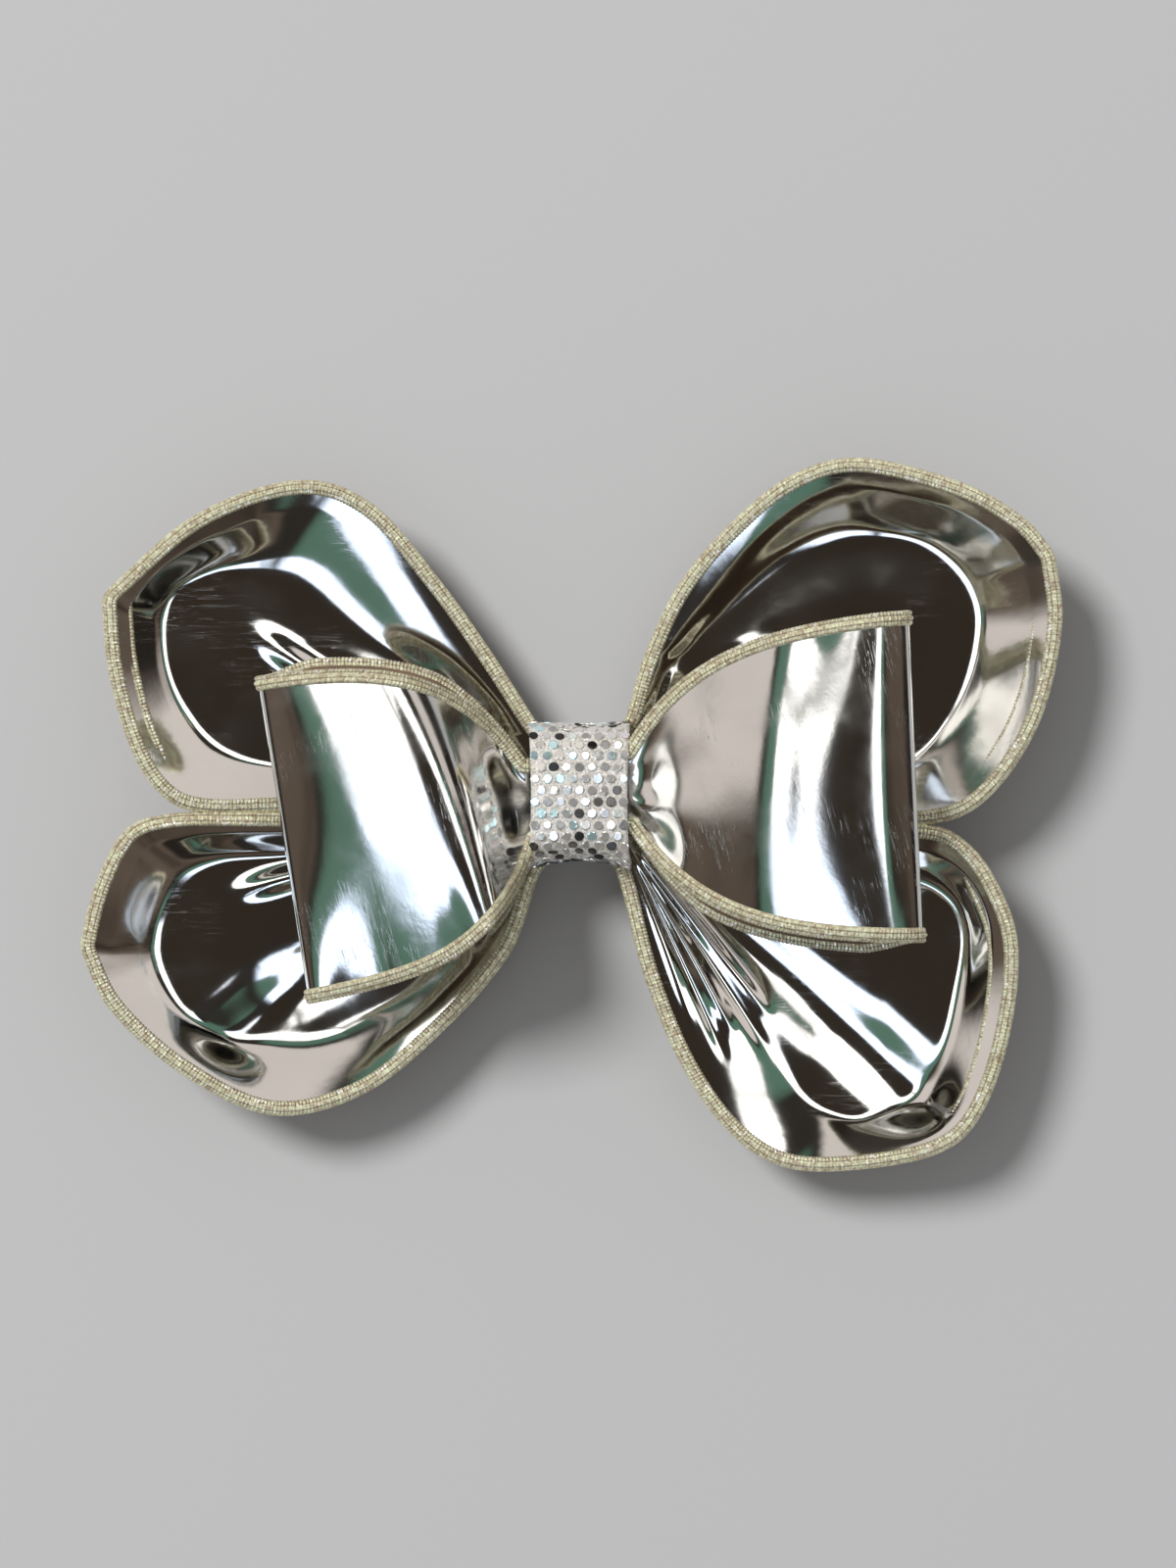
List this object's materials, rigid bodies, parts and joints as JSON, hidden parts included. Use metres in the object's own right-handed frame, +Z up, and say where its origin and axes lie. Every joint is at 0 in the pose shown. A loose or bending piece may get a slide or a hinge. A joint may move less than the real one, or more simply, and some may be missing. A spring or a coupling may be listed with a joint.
{
  "type": "pre-made gift bow",
  "caption": "Flat gift bow with butterfly wings of mirror leatherette, corded metallic edges, a smaller looped bow on top, a glitter centre band and a self-adhesive pad.",
  "frame": {"origin": "under the centre of the release liner, in the plane that the bow stands on", "axes": "+X towards the right wing, +Y towards the upper petals, +Z up, out of the face of the bow"},
  "size_m": [0.1125, 0.0802, 0.0256],
  "materials": {
    "mirror_leatherette": "mirror-bright metallised film on soft backing, fine scuffs",
    "lining_leatherette": "mirror-bright inside, bronze-brown satin backing",
    "metallic_cord": "pale champagne-gold metallic thread, merrowed, sparkling",
    "shaping_wire": "plain drawn wire",
    "glitter_band": "silver film with small round glitter dots",
    "binding_thread": "waxed thread",
    "hot_melt_glue": "cloudy glue",
    "backing_card": "plain white card",
    "foam_adhesive": "closed-cell foam tape",
    "release_liner": "smooth siliconised paper"
  },
  "bodies": {
    "knot": {"centre_band": "glitter_band", "wing_waist": "mirror_leatherette", "wing_binding_thread": "binding_thread", "small_bow_waist": "mirror_leatherette", "small_bow_binding_thread": "binding_thread", "glue_layer": "hot_melt_glue", "backing_card": "backing_card", "foam_pad": "foam_adhesive"},
    "left_wing": {"left_lining": "lining_leatherette", "left_lining_edge": "metallic_cord", "left_lining_wire": "shaping_wire", "left_upper_face": "mirror_leatherette", "left_upper_face_edge": "metallic_cord", "left_upper_face_wire": "shaping_wire", "left_lower_face": "mirror_leatherette", "left_lower_face_edge": "metallic_cord", "left_lower_face_wire": "shaping_wire"},
    "right_wing": {"right_lining": "lining_leatherette", "right_lining_edge": "metallic_cord", "right_lining_wire": "shaping_wire", "right_upper_face": "mirror_leatherette", "right_upper_face_edge": "metallic_cord", "right_upper_face_wire": "shaping_wire", "right_lower_face": "mirror_leatherette", "right_lower_face_edge": "metallic_cord", "right_lower_face_wire": "shaping_wire"},
    "left_loop": {"left_loop_ribbon": "mirror_leatherette", "left_loop_upper_edge": "metallic_cord", "left_loop_upper_wire": "shaping_wire", "left_loop_lower_edge": "metallic_cord", "left_loop_lower_wire": "shaping_wire"},
    "right_loop": {"right_loop_ribbon": "mirror_leatherette", "right_loop_upper_edge": "metallic_cord", "right_loop_upper_wire": "shaping_wire", "right_loop_lower_edge": "metallic_cord", "right_loop_lower_wire": "shaping_wire"},
    "release_liner": {"release_liner": "release_liner"}
  },
  "joints": [
    {"name": "left_wing_tilt", "type": "hinge", "parent": "knot", "child": "left_wing", "pos_m": [-0.0058, 0, 0.0065], "axis": [0, 1, 0], "range_deg": [-6, 5]},
    {"name": "right_wing_tilt", "type": "hinge", "parent": "knot", "child": "right_wing", "pos_m": [0.0058, 0, 0.0065], "axis": [0, -1, 0], "range_deg": [-6, 5]},
    {"name": "left_loop_tilt", "type": "hinge", "parent": "knot", "child": "left_loop", "pos_m": [-0.0058, 0, 0.0118], "axis": [0, 1, 0], "range_deg": [0, 15]},
    {"name": "right_loop_tilt", "type": "hinge", "parent": "knot", "child": "right_loop", "pos_m": [0.0058, 0, 0.0118], "axis": [0, -1, 0], "range_deg": [0, 15]},
    {"name": "liner_peel", "type": "slide", "parent": "knot", "child": "release_liner", "axis": [0, 0, -1], "range_m": [0, 0.02]}
  ]
}
